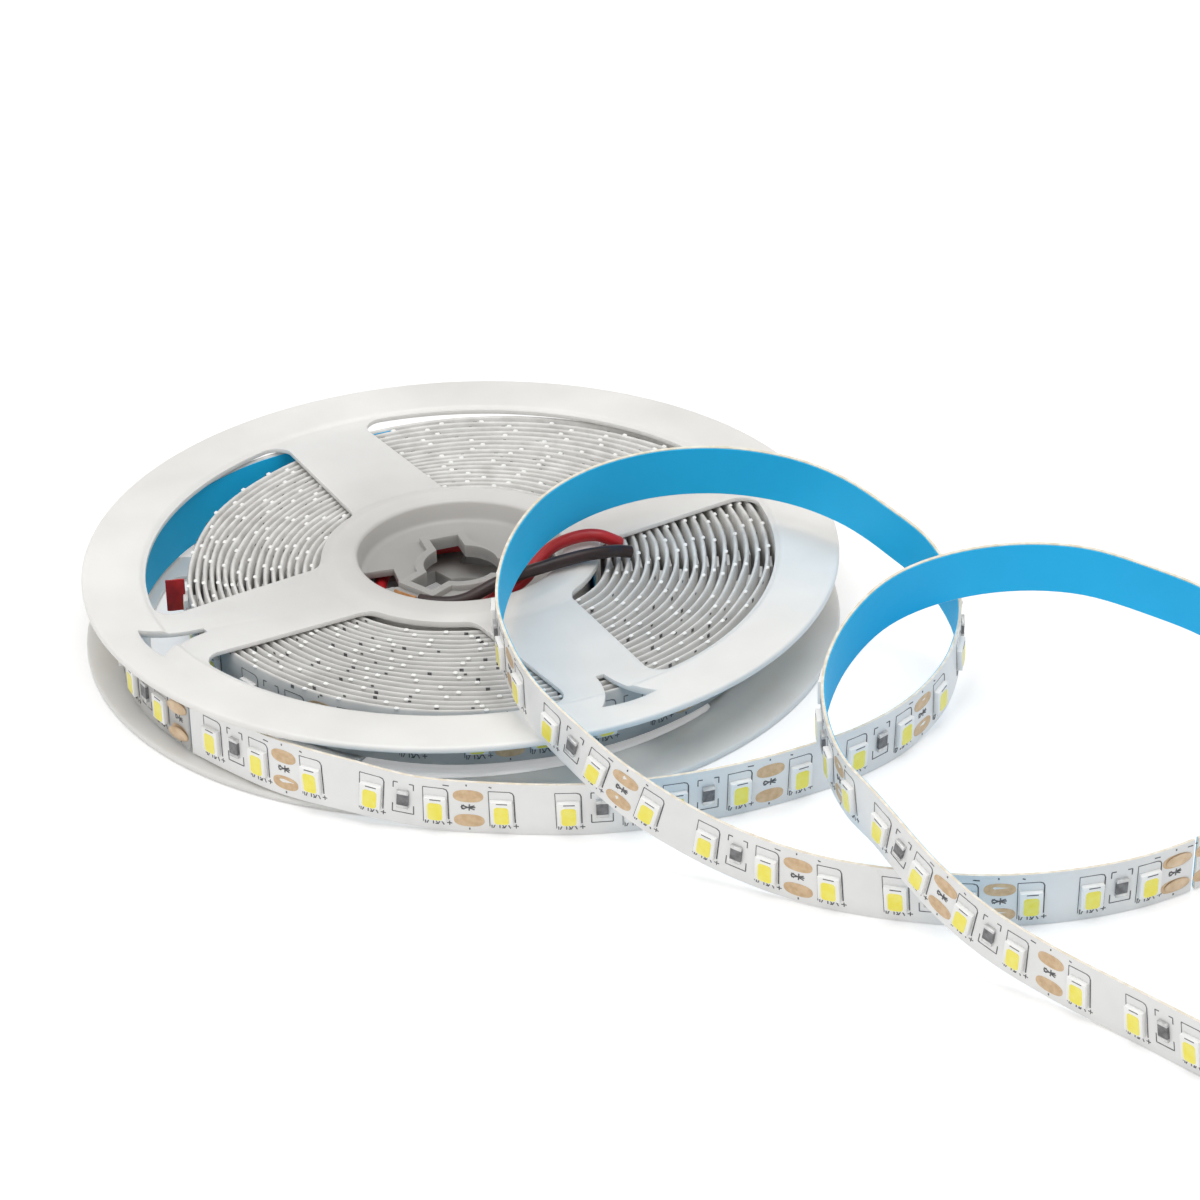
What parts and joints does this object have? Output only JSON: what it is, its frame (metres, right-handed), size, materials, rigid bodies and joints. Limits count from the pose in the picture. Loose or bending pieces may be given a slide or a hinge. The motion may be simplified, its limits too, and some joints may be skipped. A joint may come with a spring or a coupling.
{
  "type": "led strip light reel",
  "caption": "Flexible LED strip light wound on a flat white plastic reel with spoked flanges, its loose end lying in two loops.",
  "frame": {"origin": "on the reel's axis, on the surface that the reel lies on", "axes": "+Z along the reel's axis, upwards; the loose end of the strip lies towards +X and -Y"},
  "size_m": [0.1555, 0.1656, 0.0221],
  "materials": {
    "reel_plastic": "satin translucent white moulded plastic",
    "strip_board": "white solder mask, with a blue liner on its back",
    "solder": "bright solder",
    "red_insulation": "glossy insulation",
    "black_insulation": "glossy insulation",
    "tinned_core": "bare stranded copper",
    "red_tape": "tape"
  },
  "bodies": {
    "root": {"upper_reel_half": "reel_plastic", "lower_reel_half": "reel_plastic", "wound_strip": "strip_board", "loose_strip_near": "strip_board", "loose_strip_far": "strip_board", "splice_solder_1": "solder", "splice_solder_2": "solder", "splice_solder_3": "solder", "splice_solder_4": "solder", "red_lead": "red_insulation", "red_lead_core": "tinned_core", "black_lead": "black_insulation", "black_lead_core": "tinned_core", "tape_tab": "red_tape"}
  },
  "joints": []
}
